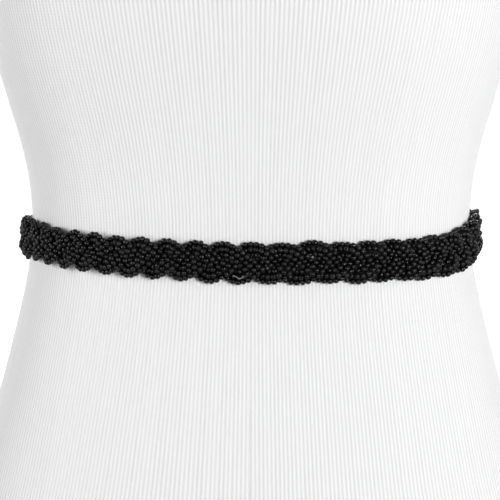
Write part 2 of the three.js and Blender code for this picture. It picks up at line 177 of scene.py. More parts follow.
# Detail of the closure: wound thread, twisted cords, and the beads of the tassels
CAP_THREAD = {"pitch": 0.75, "groove": 0.08, "along": 110, "around": 40}
PLIES = 2
TIE_CORD = {"points": 60, "sides": 20, "groove": 0.45, "twist": 2.5, "overlap": 0.5}
KNOT_CORD = {"points": 260, "sides": 16, "groove": 0.4, "twist": 9, "lean": 0.5}
NECK_CORD = {"points": 24, "sides": 16, "groove": 0.45, "twist": 1.2, "overlap": 0.6}
HEAD_CORE = {"sides": 20, "rings": 8, "inset": 1.3, "start": 0.06, "end": 0.97}
HEAD_BEADS = {"rows": 5, "first": 0.6, "spread": 5.1, "pitch": 1.06, "fewest": 5}
STRAND_BEADS = {"first": 0.7, "sway": 0.22, "wave": 6}

# Rib knit stretched over the form
KNIT = {"ribs": 364, "steps": 4, "relief": 0.3, "level_step": 10.5, "course": 1.5, "inner_ring": 0.6}
# The ribs lie closer at the front below this height, and wider above it, by a share for each millimetre
RIB_SPREAD = {"height": 190, "share": 0.0006, "reach": 130}
# Below the belt at the left the ribs are drawn aside; middle and width are shares of the way round
RIB_DRAG = {"share": 0.00006, "middle": 0.9, "width": 0.07}

# Materials: colours in linear light, from deep to pale; bump distances in metres, noise scales for a metre
BEAD_COLOURS = ((0.0006, 0.0006, 0.001), (0.0035, 0.0035, 0.0045))
BEAD_GLOSS = {"smooth": 0.1, "rough": 0.55, "power": 1.5, "shuffle": 7.0, "ior": 1.42}
BEAD_BUMP = {"scale": 900.0, "distance": 0.00006}
THREAD_COLOURS = ((0.004, 0.004, 0.005), (0.02, 0.02, 0.021))
CLEAR_COLOURS = ((0.3, 0.3, 0.29), (0.5, 0.5, 0.48))
THREAD_LOOK = {"roughness": 0.75, "sheen": 0.12, "detail": 5.0, "distance": 0.00012}
THREAD_SCALES = {"black": 2600.0, "clear": 4000.0}
# The mark on thread that is in a mesh of beads
THREAD_SHADE = -1.0
# The knit's colours run from the deep colour of the painted shade in the grooves up to the knit's white
KNIT_AND_PAINTED_SHADE_COLOURS = ((0.68, 0.68, 0.685), (0.93, 0.93, 0.93))
KNIT_LOOK = {"roughness": 0.92, "sheen": 0.15, "distance": 0.00008}
STITCH = {"slant": 1.2, "relief": 0.6}
FLUFF = {"scale": 1500.0, "detail": 4.0, "relief": 0.4, "deepest": 0.85}
# Painted shade in the grooves between ribs: where it begins and is full across a rib, how dark it is, and its
# least and most depth for each rib
PAINTED_GROOVE_SHADE = {"start": 0.1, "end": 0.5, "shade": -0.85, "least": 0.8, "most": 1.0}

# Studio, in metres: soft panels with the brightness of each, a floor, and a white backdrop
AIM = (0, 0, 0.18)
LIGHT_COLUMNS = ("name", "place", "size", "radiance")
LIGHTS = (
    ("key_right", (0.94, -1.63, 0.34), (0.35, 0.8), 31.0),
    ("fill_left", (-1.74, -0.47, 0.5), (2.2, 1.2), 3.35),
    ("side_right", (1.79, 0.16, 0.4), (0.8, 1.2), 3.4),
    ("back", (0.3, 1.8, 0.8), (1.0, 1.0), 7.0),
)
FLOOR = {"reach": 9, "height": -0.0005, "grey": 0.4}
WORLD = {"backdrop": 1.6, "room": 0.14}
CLIP_START = 0.01

rng = np.random.default_rng(SEED)


def named(columns, rows):
    """A table as one array for each named column."""
    return {column: np.array([row[i] for row in rows], float) for i, column in enumerate(columns)}


def smoothstep(x, low, high):
    share = np.clip((np.asarray(x, float) - low) / (high - low), 0, 1)
    return share * share * (3 - 2 * share)


def lerp(a, b, share):
    return a + (b - a) * share


def unit(vectors):
    return vectors / np.linalg.norm(vectors, axis=-1, keepdims=True)


def signed_power(value, power):
    """A power that keeps the value's sign."""
    return np.sign(value) * np.abs(value) ** power


def spline(xs, ys):
    """The natural cubic spline through (x, y), as a function that gives values and slopes."""
    steps = np.diff(xs)
    rises = np.diff(ys) / steps
    system = np.eye(len(xs))
    jumps = np.zeros(len(xs))
    for i in range(1, len(xs) - 1):
        system[i, i - 1 : i + 2] = steps[i - 1], 2 * (steps[i - 1] + steps[i]), steps[i]
        jumps[i] = 6 * (rises[i] - rises[i - 1])
    curve = np.linalg.solve(system, jumps)

    def at(x):
        i = np.clip(np.searchsorted(xs, x, side="right") - 1, 0, len(steps) - 1)
        h = steps[i]
        p = xs[i + 1] - x
        q = x - xs[i]
        low = ys[i] / h - curve[i] * h / 6
        high = ys[i + 1] / h - curve[i + 1] * h / 6
        value = (curve[i] * p**3 + curve[i + 1] * q**3) / (6 * h) + low * p + high * q
        slope = (curve[i + 1] * q**2 - curve[i] * p**2) / (2 * h) + high - low
        return value, slope

    return at


form_table = named(FORM_COLUMNS, FORM_SECTIONS)
form_splines = {name: spline(form_table["height"], form_table[name]) for name in FORM_COLUMNS[1:]}
scallop_table = named(SCALLOP_COLUMNS, SCALLOPS)
scallop_at = spline(scallop_table["arc"], scallop_table["scallop"])
lift_table = named(LIFT_COLUMNS, LIFTS)
head_table = named(HEAD_COLUMNS, HEAD_OUTLINE)


def section(height):
    """Half width, front depth and back depth at a height, each with its slope, and the section's power."""
    half_width, front, back, power = (form_splines[name](height) for name in FORM_COLUMNS[1:])
    return half_width, front, back, power[0]


def form_point(angle, height):
    """The point of the form at an angle and a height."""
    angle, height = np.broadcast_arrays(np.asarray(angle, float), np.asarray(height, float))
    half_width, front, back, power = section(height)
    depth = np.where(np.cos(angle) >= 0, front[0], back[0])
    x = half_width[0] * signed_power(np.sin(angle), 2 / power)
    y = -depth * signed_power(np.cos(angle), 2 / power)
    return np.stack([x, y, height], -1)


def form_normal(points):
    """The direction out of the form at points on it."""
    x, y, z = np.moveaxis(points, -1, 0)
    half_width, front, back, power = section(z)
    depth = np.where(y <= 0, front[0], back[0])
    depth_slope = np.where(y <= 0, front[1], back[1])
    across = np.abs(x / half_width[0])
    along = np.abs(y / depth)
    rise = -(across**power) * half_width[1] / half_width[0] - along**power * depth_slope / depth
    out_x = np.sign(x) * across ** (power - 1) / half_width[0]
    out_y = np.sign(y) * along ** (power - 1) / depth
    return unit(np.stack([out_x, out_y, rise], -1))


def form_angle(points):
    x, y, z = np.moveaxis(points, -1, 0)
    half_width, front, back, power = section(z)
    depth = np.where(y <= 0, front[0], back[0])
    return np.arctan2(signed_power(x / half_width[0], power / 2), signed_power(-y / depth, power / 2))


def laid(points, out):
    """Points close to the form, laid on it and then moved out."""
    on = form_point(form_angle(points), points[..., 2])
    return on + form_normal(on) * np.asarray(out, float)[..., None]


def belt_lift(angle):
    """How much higher the belt lies at an angle than its sloping plane."""
    turned = np.degrees(angle)
    angles, lifts = lift_table["angle"], lift_table["lift"]
    i = np.clip(np.searchsorted(angles, turned, side="right") - 1, 0, len(angles) - 2)
    return lerp(lifts[i], lifts[i + 1], smoothstep(turned, angles[i], angles[i + 1]))


def belt_height(angle):
    """The height of the belt's middle line, which slopes and rolls, and dips and rises at the sides."""
    x, y, _ = np.moveaxis(form_point(angle, BELT_HEIGHT), -1, 0)
    return BELT_HEIGHT + y * math.tan(FRONT_DROP) - x * math.tan(SIDE_ROLL) + belt_lift(angle)


path_angles = (np.arange(PATH_STEPS + 1) / PATH_STEPS - 0.5) * TURN
path_points = laid(form_point(path_angles, belt_height(path_angles)), np.full(PATH_STEPS + 1, BELT_OUT))
path_arcs = np.concatenate([[0], np.cumsum(np.linalg.norm(np.diff(path_points, axis=0), axis=1))])
path_arcs -= path_arcs[PATH_STEPS // 2]
PATH_LEFT, PATH_RIGHT = path_arcs[0], path_arcs[-1]


def middle_point(arc):
    """The form under the belt's middle line, at an arc length from the front."""
    wanted = (np.asarray(arc, float) - PATH_LEFT) % (PATH_RIGHT - PATH_LEFT) + PATH_LEFT
    angle = np.interp(wanted, path_arcs, path_angles)
    return form_point(angle, belt_height(angle))


def belt_frame(arc):
    """The belt's origin, and its directions along it, across it upwards, and out of the form."""
    arc = np.asarray(arc, float)
    origin = middle_point(arc)
    along = unit(middle_point(arc + SLOPE_REACH) - middle_point(arc - SLOPE_REACH))
    out = form_normal(origin)
    return origin, along, unit(np.cross(out, along)), out


def on_belt(arc, across, out):
    """Points in belt coordinates, laid over the form."""
    origin, _, up, _ = belt_frame(arc)
    return laid(origin + up * np.asarray(across, float)[..., None], BELT_OUT + np.asarray(out, float))


def behind(across, drop, out):
    """A point on the back: across, down from the knot's middle, and out from the form."""
    across, drop, out = np.broadcast_arrays(*(np.asarray(v, float) for v in (across, drop, out)))
    height = belt_height(math.pi) - drop
    half_width, _, back, power = section(height)
    depth = back[0] * (1 - np.abs(across / half_width[0]) ** power) ** (1 / power)
    return laid(np.stack([across, depth, height], -1), out)


# Meshes


def make_piece(name, points, quads, triangles, material, replaced, shades=None, uvs=None):
    """A smooth mesh from points in millimetres that rides on the object and stands for a solid."""
    quads = np.asarray(quads, np.int32).reshape(-1, 4)
    triangles = np.asarray(triangles, np.int32).reshape(-1, 3)
    corners = np.concatenate([quads.ravel(), triangles.ravel()])
    sizes = np.concatenate([np.full(len(quads), 4), np.full(len(triangles), 3)])
    mesh = bpy.data.meshes.new(name)
    mesh.vertices.add(len(points))
    mesh.vertices.foreach_set("co", (np.asarray(points) * MM).astype(np.float32).ravel())
    mesh.loops.add(len(corners))
    mesh.loops.foreach_set("vertex_index", corners)
    mesh.polygons.add(len(sizes))
    mesh.polygons.foreach_set("loop_start", np.concatenate([[0], np.cumsum(sizes)[:-1]]).astype(np.int32))
    mesh.polygons.foreach_set("loop_total", sizes.astype(np.int32))
    mesh.update(calc_edges=True)
    mesh.shade_smooth()
    if shades is not None:
        attribute = mesh.attributes.new("shade", "FLOAT", "POINT")
        attribute.data.foreach_set("value", np.asarray(shades, np.float32))
    if uvs is not None:
        layer = mesh.uv_layers.new(name="UVMap")
        layer.data.foreach_set("uv", np.asarray(uvs, np.float32)[corners].ravel())
    mesh.validate()
    mesh.materials.append(material)
    piece = bpy.data.objects.new(name, mesh)
    bpy.context.scene.collection.objects.link(piece)
    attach(piece, "root")
    if replaced:
        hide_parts(*replaced)


class Shape:
    """Points and faces gathered from several bodies into one mesh."""

    def __init__(self):
        self.points = []
        self.quads = []
        self.triangles = []
        self.shades = []
        self.count = 0

    def add(self, points, quads, triangles=(), shade=0.5):
        points = np.asarray(points, float).reshape(-1, 3)
        self.points.append(points)
        self.quads.append(np.asarray(quads, int).reshape(-1, 4) + self.count)
        self.triangles.append(np.asarray(triangles, int).reshape(-1, 3) + self.count)
        self.shades.append(np.broadcast_to(shade, len(points)))
        self.count += len(points)

    def make(self, name, material, slot, replaced):
        make_piece(
            name,
            np.concatenate(self.points),
            np.concatenate(self.quads),
            np.concatenate(self.triangles),
            material,
            replaced,
            shades=np.concatenate(self.shades),
        )


def ring_quads(rings, sides, closed=False):
    """Faces between rings of points, facing out where the rings turn anticlockwise about their path."""
    starts = np.arange(rings if closed else rings - 1)[:, None] * sides
    k = np.arange(sides)
    a = starts + k
    b = starts + (k + 1) % sides
    ahead = (starts + sides) % (rings * sides)
    return np.stack([a, b, ahead + (k + 1) % sides, ahead + k], -1).reshape(-1, 4)


def end_fans(rings, sides):
    """Triangles from the first and the last of some rings to the two points that come after all the rings."""
    k = np.arange(sides)
    after = (k + 1) % sides
    last = (rings - 1) * sides
    first_fan = np.stack([after, k, np.full(sides, rings * sides)], -1)
    last_fan = np.stack([last + k, last + after, np.full(sides, rings * sides + 1)], -1)
    return np.concatenate([first_fan, last_fan])


def add_loft(shape, rings, shade=0.5, closed=False):
    """Adds a body through rings of points, an array of (rings, sides, 3), with its ends filled by fans."""
    rings = np.asarray(rings, float)
    count, sides, _ = rings.shape
    points = rings.reshape(-1, 3)
    triangles = []
    if not closed:
        points = np.concatenate([points, rings[0].mean(0)[None], rings[-1].mean(0)[None]])
        triangles = end_fans(count, sides)
    shape.add(points, ring_quads(count, sides, closed), triangles, shade)


def tube_rings(path, radius, facing, sides, closed=False, groove=0.0, twist=0.0):
    """Rings round a path, with one side kept towards a direction, and a groove between twisted plies."""
    path = np.asarray(path, float)
    if closed:
        along = unit(np.roll(path, -1, 0) - np.roll(path, 1, 0))
    else:
        along = unit(np.gradient(path, axis=0))
    wide = unit(np.cross(along, np.broadcast_to(facing, path.shape)))
    high = np.cross(wide, along)
    place = np.arange(len(path)) / (len(path) if closed else len(path) - 1)
    turn = (np.arange(sides) + 0.5) / sides * TURN
    plied = np.abs(np.cos(PLIES * (turn[None] - place[:, None] * twist * TURN) / 2))
    reach = radius * (1 - groove * (1 - plied) ** 2)
    across = (reach * np.cos(turn))[..., None] * wide[:, None]
    return path[:, None] + across + (reach * np.sin(turn))[..., None] * high[:, None]


def add_cord(shape, path, radius, facing, cord, shade=0.5, closed=False):
    """Adds a cord of twisted plies along a path."""
    rings = tube_rings(path, radius, facing, cord["sides"], closed, cord["groove"], cord["twist"])
    add_loft(shape, rings, shade, closed)


# Materials


class Nodes:
    """A material's nodes, made and joined by name."""

    def __init__(self, name):
        self.material = bpy.data.materials.new(name)
        self.material.use_nodes = True
        self.tree = self.material.node_tree
        self.shader = self.tree.nodes["Principled BSDF"]

    def node(self, kind, links=None, **settings):
        made = self.tree.nodes.new(kind)
        for key, value in settings.items():
            setattr(made, key, value)
        for key, source in (links or {}).items():
            if isinstance(source, bpy.types.NodeSocket):
                self.tree.links.new(source, made.inputs[key])
            else:
                made.inputs[key].default_value = source
        return made

    def math(self, operation, a, b=0.0):
        return self.node("ShaderNodeMath", {0: a, 1: b}, operation=operation).outputs[0]

    def ranged(self, value, low, high, to_low, to_high):
        links = {"Value": value, "From Min": low, "From Max": high, "To Min": to_low, "To Max": to_high}
        return self.node("ShaderNodeMapRange", links).outputs["Result"]

    def noise(self, scale, detail=3.0):
        place = self.node("ShaderNodeTexCoord").outputs["Object"]
        links = {"Vector": place, "Scale": scale, "Detail": detail}
        return self.node("ShaderNodeTexNoise", links).outputs[0]

    def ramp(self, value, low, high):
        made = self.node("ShaderNodeValToRGB", {"Fac": value})
        made.color_ramp.elements[0].color = (*low, 1)
        made.color_ramp.elements[1].color = (*high, 1)
        return made.outputs["Color"]

    def bump(self, height, distance):
        links = {"Height": height, "Distance": distance, "Strength": 1.0}
        self.set("Normal", self.node("ShaderNodeBump", links).outputs["Normal"])

    def set(self, key, value):
        if isinstance(value, bpy.types.NodeSocket):
            self.tree.links.new(value, self.shader.inputs[key])
        else:
            self.shader.inputs[key].default_value = value


def bead_material():
    """Black glass, each bead with its own shade and gloss; a shade below 0 marks the dull thread in them."""
    nodes = Nodes("black_glass_beads")
    shade = nodes.node("ShaderNodeAttribute", attribute_name="shade").outputs["Fac"]
    nodes.set("Base Color", nodes.ramp(shade, *BEAD_COLOURS))
    flip = nodes.math("FRACT", nodes.math("MULTIPLY", shade, BEAD_GLOSS["shuffle"]))
    worn = nodes.math("POWER", flip, BEAD_GLOSS["power"])
    glossy = nodes.ranged(worn, 0.0, 1.0, BEAD_GLOSS["smooth"], BEAD_GLOSS["rough"])
    thread = nodes.math("MULTIPLY", nodes.math("LESS_THAN", shade, 0.0), THREAD_LOOK["roughness"])
    nodes.set("Roughness", nodes.math("MAXIMUM", glossy, thread))
    nodes.set("IOR", BEAD_GLOSS["ior"])
    nodes.bump(nodes.noise(BEAD_BUMP["scale"]), BEAD_BUMP["distance"])
    return nodes.material


def thread_material(name, scale, colours):
    nodes = Nodes(name)
    fibres = nodes.noise(scale, THREAD_LOOK["detail"])
    nodes.set("Base Color", nodes.ramp(fibres, *colours))
    nodes.set("Roughness", THREAD_LOOK["roughness"])
    nodes.set("Sheen Weight", THREAD_LOOK["sheen"])
    nodes.bump(fibres, THREAD_LOOK["distance"])
    return nodes.material


def knit_material():
    """White knit: each rib a chain of fine stitches, with painted shade darkening the colour in the grooves
    between ribs.
    """
    nodes = Nodes("white_rib_knit")
    place = nodes.node("ShaderNodeUVMap").outputs["UV"]
    split = nodes.node("ShaderNodeSeparateXYZ", {0: place})
    across = nodes.math("SUBTRACT", nodes.math("FRACT", split.outputs["X"]), 0.5)
    aside = nodes.math("ABSOLUTE", across)
    slanted = nodes.math("ADD", split.outputs["Y"], nodes.math("MULTIPLY", aside, STITCH["slant"]))
    stitch = nodes.math("ABSOLUTE", nodes.math("SINE", nodes.math("MULTIPLY", slanted, math.pi)))
    fluff = nodes.noise(FLUFF["scale"], FLUFF["detail"])
    raised = nodes.math("MULTIPLY", stitch, STITCH["relief"])
    height = nodes.math("ADD", raised, nodes.math("MULTIPLY", fluff, FLUFF["relief"]))
    nodes.bump(height, KNIT_LOOK["distance"])
    # Painted shade: the colour is darkened towards each groove between ribs, by a random depth for each rib
    rib = nodes.math("ROUND", split.outputs["X"])
    uneven = nodes.node("ShaderNodeTexWhiteNoise", {"W": rib}, noise_dimensions="1D").outputs["Value"]
    painted_shade_depth = nodes.ranged(uneven, 0.0, 1.0, PAINTED_GROOVE_SHADE["least"], PAINTED_GROOVE_SHADE["most"])
    groove = nodes.math("MULTIPLY", nodes.ranged(aside, PAINTED_GROOVE_SHADE["start"], PAINTED_GROOVE_SHADE["end"], 0.0, 1.0), painted_shade_depth)
    painted_groove_shade = nodes.math("MULTIPLY", groove, PAINTED_GROOVE_SHADE["shade"])
    # The painted groove shade is added to the fluff's random tone, and the sum sets the knit's colour
    worn = nodes.math("ADD", painted_groove_shade, nodes.ranged(fluff, 0.0, 1.0, FLUFF["deepest"], 1.0))
    nodes.set("Base Color", nodes.ramp(worn, *KNIT_AND_PAINTED_SHADE_COLOURS))
    nodes.set("Roughness", KNIT_LOOK["roughness"])
    nodes.set("Sheen Weight", KNIT_LOOK["sheen"])
    return nodes.material


BEADS = bead_material()
THREAD = thread_material("black_thread", THREAD_SCALES["black"], THREAD_COLOURS)
CLEAR_THREAD = thread_material("clear_thread", THREAD_SCALES["clear"], CLEAR_COLOURS)
KNIT_WHITE = knit_material()


# The dress form in its knit


def form_levels():
    """Heights and insets of the knit's rows of points, from the underside up."""
    edge = named(EDGE_COLUMNS, FORM_EDGE)
    top = form_table["height"][-1]
    low, high = edge["rise"][-1], top - edge["rise"][-1]
    count = math.ceil((high - low) / KNIT["level_step"])
    middle = np.linspace(low, high, count + 1)
    heights = np.concatenate([edge["rise"][:-1], middle, top - edge["rise"][-2::-1]])
    insets = np.concatenate([edge["inset"][:-1], np.zeros(len(middle)), edge["inset"][-2::-1]])
    return heights, insets


def rib_angles(height, count):
    """Angles that part the form's outline at a height into nearly equal lengths, from the front."""
    fine = np.linspace(0, TURN, 4 * PATH_STEPS + 1)
    outline = form_point(fine, height)
    arcs = np.concatenate([[0], np.cumsum(np.linalg.norm(np.diff(outline, axis=0), axis=1))])
    below = np.clip(RIB_SPREAD["height"] - height, -RIB_SPREAD["reach"], RIB_SPREAD["reach"])
    share = arcs / arcs[-1]
    drag = np.exp(-(((share - RIB_DRAG["middle"]) / RIB_DRAG["width"]) ** 2)) * max(BELT_HEIGHT - height, 0)
    share = share + RIB_SPREAD["share"] * below * np.sin(TURN * share) / TURN + RIB_DRAG["share"] * drag
    return np.interp(np.arange(count) / count, share, fine)


def knit_form():
    """The form's knit, with a groove between ribs, drawn in at its underside and its top."""
    sides = KNIT["ribs"] * KNIT["steps"]
    rib = np.arange(sides) / KNIT["steps"]
    heights, insets = form_levels()
    rings = []
    for height, inset in zip(heights, insets):
        on = form_point(rib_angles(height, sides), height)
        groove = KNIT["relief"] * (inset == 0) * (0.5 + 0.5 * np.cos(TURN * rib))
        drawn_in = 1 - inset / np.hypot(on[:, 0], on[:, 1])
        on = on * np.stack([drawn_in, drawn_in, np.ones(sides)], -1)
        rings.append(on - form_normal(on) * groove[:, None])
    inner = (KNIT["inner_ring"], KNIT["inner_ring"], 1)
    rings = np.array([rings[0] * inner, *rings, rings[-1] * inner])
    ends = [(0, 0, heights[0]), (0, 0, heights[-1])]
    points = np.concatenate([rings.reshape(-1, 3), ends])
    steps = np.linalg.norm(np.diff(rings[:, 0], axis=0), axis=-1)
    courses = np.concatenate([[0], np.cumsum(steps)]) / KNIT["course"]
    uvs = np.stack(np.broadcast_arrays(rib[None], courses[:, None]), -1).reshape(-1, 2)
    uvs = np.concatenate([uvs, [[0, 0], [0, courses[-1]]]])
    quads = ring_quads(len(rings), sides)
    triangles = end_fans(len(rings), sides)
    make_piece("knit_form", points, quads, triangles, KNIT_WHITE, ["dress_form"], uvs=uvs)


# Beads


def bead_ring(radius, length):
    """One bead about the x axis: a rounded ring with a clean hole."""
    bulge = np.radians(BEAD_BULGE)
    places = 0.5 * length * np.sin(bulge) / np.sin(bulge[-1])
    shoulder = np.stack([places, radius * np.cos(bulge) ** BEAD_RING["roundness"]], -1)
    rim, hole = BEAD_RING["rim"] * length, BEAD_RING["hole"] * radius
    outline = np.concatenate([shoulder, [(rim, hole), (-rim, hole)]])
    sides = BEAD_RING["sides"]
    turn = np.arange(sides) / sides * TURN
    x = np.broadcast_to(outline[:, 0][None], (sides, len(outline)))
    y = np.cos(turn)[:, None] * outline[:, 1]
    z = np.sin(turn)[:, None] * outline[:, 1]
    points = np.stack([x, y, z], -1).reshape(-1, 3)
    return points, ring_quads(sides, len(outline), closed=True)


def varied(count, sizes):
    """A size about 1 for each bead."""
    return rng.normal(1, sizes["spread"], (count, 1, 1)).clip(sizes["least"], sizes["most"])


def add_beads(shape, places, along, out, bead):
    """Adds a bead at each place, its hole along the string, each a little tilted and of its own size."""
    count = len(places)
    loose = rng.random((count, 1)) < TILT["loose_share"]
    tilt = rng.normal(0, 1, (count, 2)) * np.where(loose, TILT["loose"], TILT["usual"])
    along = unit(along)
    high = unit(out - along * np.sum(out * along, -1, keepdims=True))
    wide = np.cross(along, high)
    axis = unit(along + high * tilt[:, :1] + wide * tilt[:, 1:])
    high = unit(high - axis * np.sum(high * axis, -1, keepdims=True))
    wide = np.cross(axis, high)
    ring, faces = bead_ring(bead["radius"], bead["length"])
    grow = varied(count, GIRTHS)
    longer = varied(count, LENGTHS)
    points = places[:, None] + axis[:, None] * ring[None, :, :1] * longer
    points = points + (high[:, None] * ring[None, :, 1:2] + wide[:, None] * ring[None, :, 2:]) * grow
    quads = faces[None] + (np.arange(count) * len(ring))[:, None, None]
    shades = np.repeat(rng.random(count), len(ring))
    shape.add(points, quads.reshape(-1, 4), shade=shades)


def add_string(shape, line, out, bead):
    """Adds a string of beads along a line, on its thread."""
    add_beads(shape, line, np.gradient(line, axis=0), out, bead)
    rings = tube_rings(line, STRING_THREAD["radius"], out, STRING_THREAD["sides"])
    add_loft(shape, rings, THREAD_SHADE)


def smooth_noise(count, step, length):
    """Random waves about 1 high along a string, smooth over a given length."""
    knots = np.arange(0, count * step + 2 * length, length)
    values = rng.normal(0, 1, len(knots))
    at = spline(knots, values)
    return at(np.arange(count) * step)[0]


def braid_scale(arc):
    """How far the bundles swing and how wide they are there, as shares of the usual."""
    scale = 1 - LEFT_NARROWING["share"] * smoothstep(-arc, LEFT_NARROWING["start"], LEFT_NARROWING["end"])
    slack = smoothstep(arc, RIGHT_SLACK["start"], RIGHT_SLACK["end"])
    slack = slack * (1 - smoothstep(arc, RIGHT_SLACK["end"], RIGHT_SLACK["stop"]))
    scale = scale + RIGHT_SLACK["share"] * slack
    to_end = np.minimum(arc - (PATH_LEFT + BRAID_END_GAP), PATH_RIGHT - BRAID_END_GAP - arc)
    opened = smoothstep(to_end, 0, END_TAPER["length"])
    return scale * lerp(END_TAPER["swing"], 1, opened), scale * lerp(END_TAPER["width"], 1, opened)


def bundle_place(bundle, arc):
    """Where a bundle's middle is, across the belt and out from its middle line."""
    turn = (scallop_at(arc)[0] / 3 + bundle / BUNDLES) * TURN
    breadth = lerp(BREADTH["left"], BREADTH["right"], smoothstep(arc, BREADTH["start"], BREADTH["end"]))
    broad = (np.cos(turn) - breadth * np.cos(3 * turn)) / (1 - breadth)
    return STRING_SWING * braid_scale(arc)[0] * broad, BRAID_DEPTH * np.sin(2 * turn)


def loop_rise(arc, across):
    """How far the bundle at an edge of the belt stands past its usual place there."""
    low, high = SWING_EDGE
    edge = smoothstep(np.abs(across), low * STRING_SWING, high * STRING_SWING)
    rise = np.zeros(len(arc))
    for middle, height, length in zip(*named(LOOP_COLUMNS, LOOPS).values()):
        bulge = np.exp(-(((arc - middle) / length) ** 2))
        rise = rise + height * bulge * edge * (np.sign(across) == np.sign(height))
    return rise


def string_route(bundle, string):
    """One string's route in belt coordinates: along, across and out, with a little wandering."""
    start = PATH_LEFT + BRAID_END_GAP + ROUTE["end_gap"]
    arc = np.arange(start, PATH_RIGHT - BRAID_END_GAP - ROUTE["end_gap"], ROUTE["step"])
    across, out = bundle_place(bundle, arc)
    across = across + loop_rise(arc, across)
    slope = np.gradient(across, arc)
    stretch = np.hypot(1, slope)
    wide = string * STRING_PITCH * braid_scale(arc)[1]
    out = out + BUNDLE_CROWN["height"] * (BUNDLE_CROWN["level"] - abs(string))
    rough = lerp(1, WANDER["right"], smoothstep(arc, WANDER["start"], WANDER["end"]))
    calm = smoothstep(np.minimum(arc - arc[0], arc[-1] - arc), 0, WANDER["calm"])
    wide = wide + WANDER["across"] * rough * calm * smooth_noise(len(arc), ROUTE["step"], WANDER["along"])
    out = out + WANDER["out"] * rough * calm * smooth_noise(len(arc), ROUTE["step"], WANDER["along"])
    return np.stack([arc - wide * slope / stretch, across + wide / stretch, out], -1)


def spaced(route, pitch):
    """Places along a route, one every pitch."""
    lengths = np.concatenate([[0], np.cumsum(np.linalg.norm(np.diff(route, axis=0), axis=1))])
    count = int(lengths[-1] // pitch)
    wanted = np.arange(count + 1) * lengths[-1] / count
    return np.stack([np.interp(wanted, lengths, route[:, i]) for i in range(3)], -1)


def settle(places, string_of):
    """Moves beads apart where they overlap, and keeps them a pitch apart on their strings and on the form."""
    home = places.copy()
    size = 2 * BEAD["radius"] * SETTLE["size"]
    lowest = BEAD["radius"] + SETTLE["lift"] - BELT_OUT
    linked = np.flatnonzero(string_of[:-1] == string_of[1:])
    for _ in range(SETTLE["rounds"]):
        for start in (0, 1):
            a = linked[linked % 2 == start]
            apart = places[a + 1] - places[a]
            length = np.linalg.norm(apart, axis=1, keepdims=True)
            move = 0.5 * (length - BEAD["pitch"]) * apart / length
            places[a] += move
            places[a + 1] -= move
        order = np.argsort(places[:, 0])
        push = np.zeros_like(places)
        for k in range(1, SETTLE["neighbours"] + 1):
            a, b = order[:-k], order[k:]
            apart = places[b] - places[a]
            length = np.linalg.norm(apart, axis=1) + TINY
            near = (length < size) & ~((string_of[a] == string_of[b]) & (np.abs(a - b) < SETTLE["own"]))
            move = (SETTLE["push"] * (size - length[near]) / length[near])[:, None] * apart[near]
            np.add.at(push, b[near], move)
            np.add.at(push, a[near], -move)
        places += push
        places += SETTLE["home"] * (home - places)
        places[:, 2] = np.maximum(places[:, 2], lowest)
    return places


def gap_shade_sheet_rings(bundle):
    """A dark flat sheet low in a bundle: painted shade in the gaps between its beads, so that no gap shows
    the form.
    """
    ends = BRAID_END_GAP + GAP_SHADE_SHEET["inset"]
    arc = np.arange(PATH_LEFT + ends, PATH_RIGHT - ends, GAP_SHADE_SHEET["step"])
    across, out = bundle_place(bundle, arc)
    across = across + loop_rise(arc, across)
    slope = np.gradient(across, arc)[:, None]
    stretch = np.hypot(1, slope)
    turn = np.arange(GAP_SHADE_SHEET["sides"]) / GAP_SHADE_SHEET["sides"] * TURN
    wide = GAP_SHADE_SHEET["half_width"] * braid_scale(arc)[1][:, None] * np.cos(turn)
    low = np.maximum(out + GAP_SHADE_SHEET["out"], GAP_SHADE_SHEET["lowest"] - BELT_OUT)[:, None]
    high = low + GAP_SHADE_SHEET["half_thick"] * np.sin(turn)
    return on_belt(arc[:, None] - wide * slope / stretch, across[:, None] + wide / stretch, high)


def braid():
    """The three bundles of strings, each with its beads pushed apart over a fixed number of rounds where they
    cut into their neighbours.
    """
    routes = [(bundle, string_route(bundle, string)) for bundle in range(BUNDLES) for string in STRINGS]
    strings = [spaced(route, BEAD["pitch"]) for _, route in routes]
    string_of = np.repeat(np.arange(len(strings)), [len(s) for s in strings])
    places = settle(np.concatenate(strings), string_of)
    points = on_belt(places[:, 0], places[:, 1], places[:, 2])
    shapes = [Shape() for _ in range(BUNDLES)]
    for i, (bundle, _) in enumerate(routes):
        line = points[string_of == i]
        add_string(shapes[bundle], line, form_normal(line), BEAD)
    for bundle, shape in enumerate(shapes):
        # Each bundle gets its dark sheet of painted shade under its beads
        add_loft(shape, gap_shade_sheet_rings(bundle), THREAD_SHADE)
        shape.make(f"bead_strings_{bundle + 1}", BEADS, "beads", [f"braid_bundle_{bundle + 1}"])


def loose_thread():
    """The clear stringing thread, where a little of it shows between beads at the front."""
    knots = named(LOOSE_COLUMNS, LOOSE_THREAD)
    arcs = np.linspace(knots["arc"][0], knots["arc"][-1], CLEAR["points"])
    across = spline(knots["arc"], knots["across"])(arcs)[0]
    line = on_belt(arcs, across, np.interp(arcs, knots["arc"], knots["out"]))
    shape = Shape()
    add_loft(shape, tube_rings(line, CLEAR["radius"], form_normal(line), CLEAR["sides"]))
    shape.make("loose_thread", CLEAR_THREAD, "thread", [])


# The closure behind


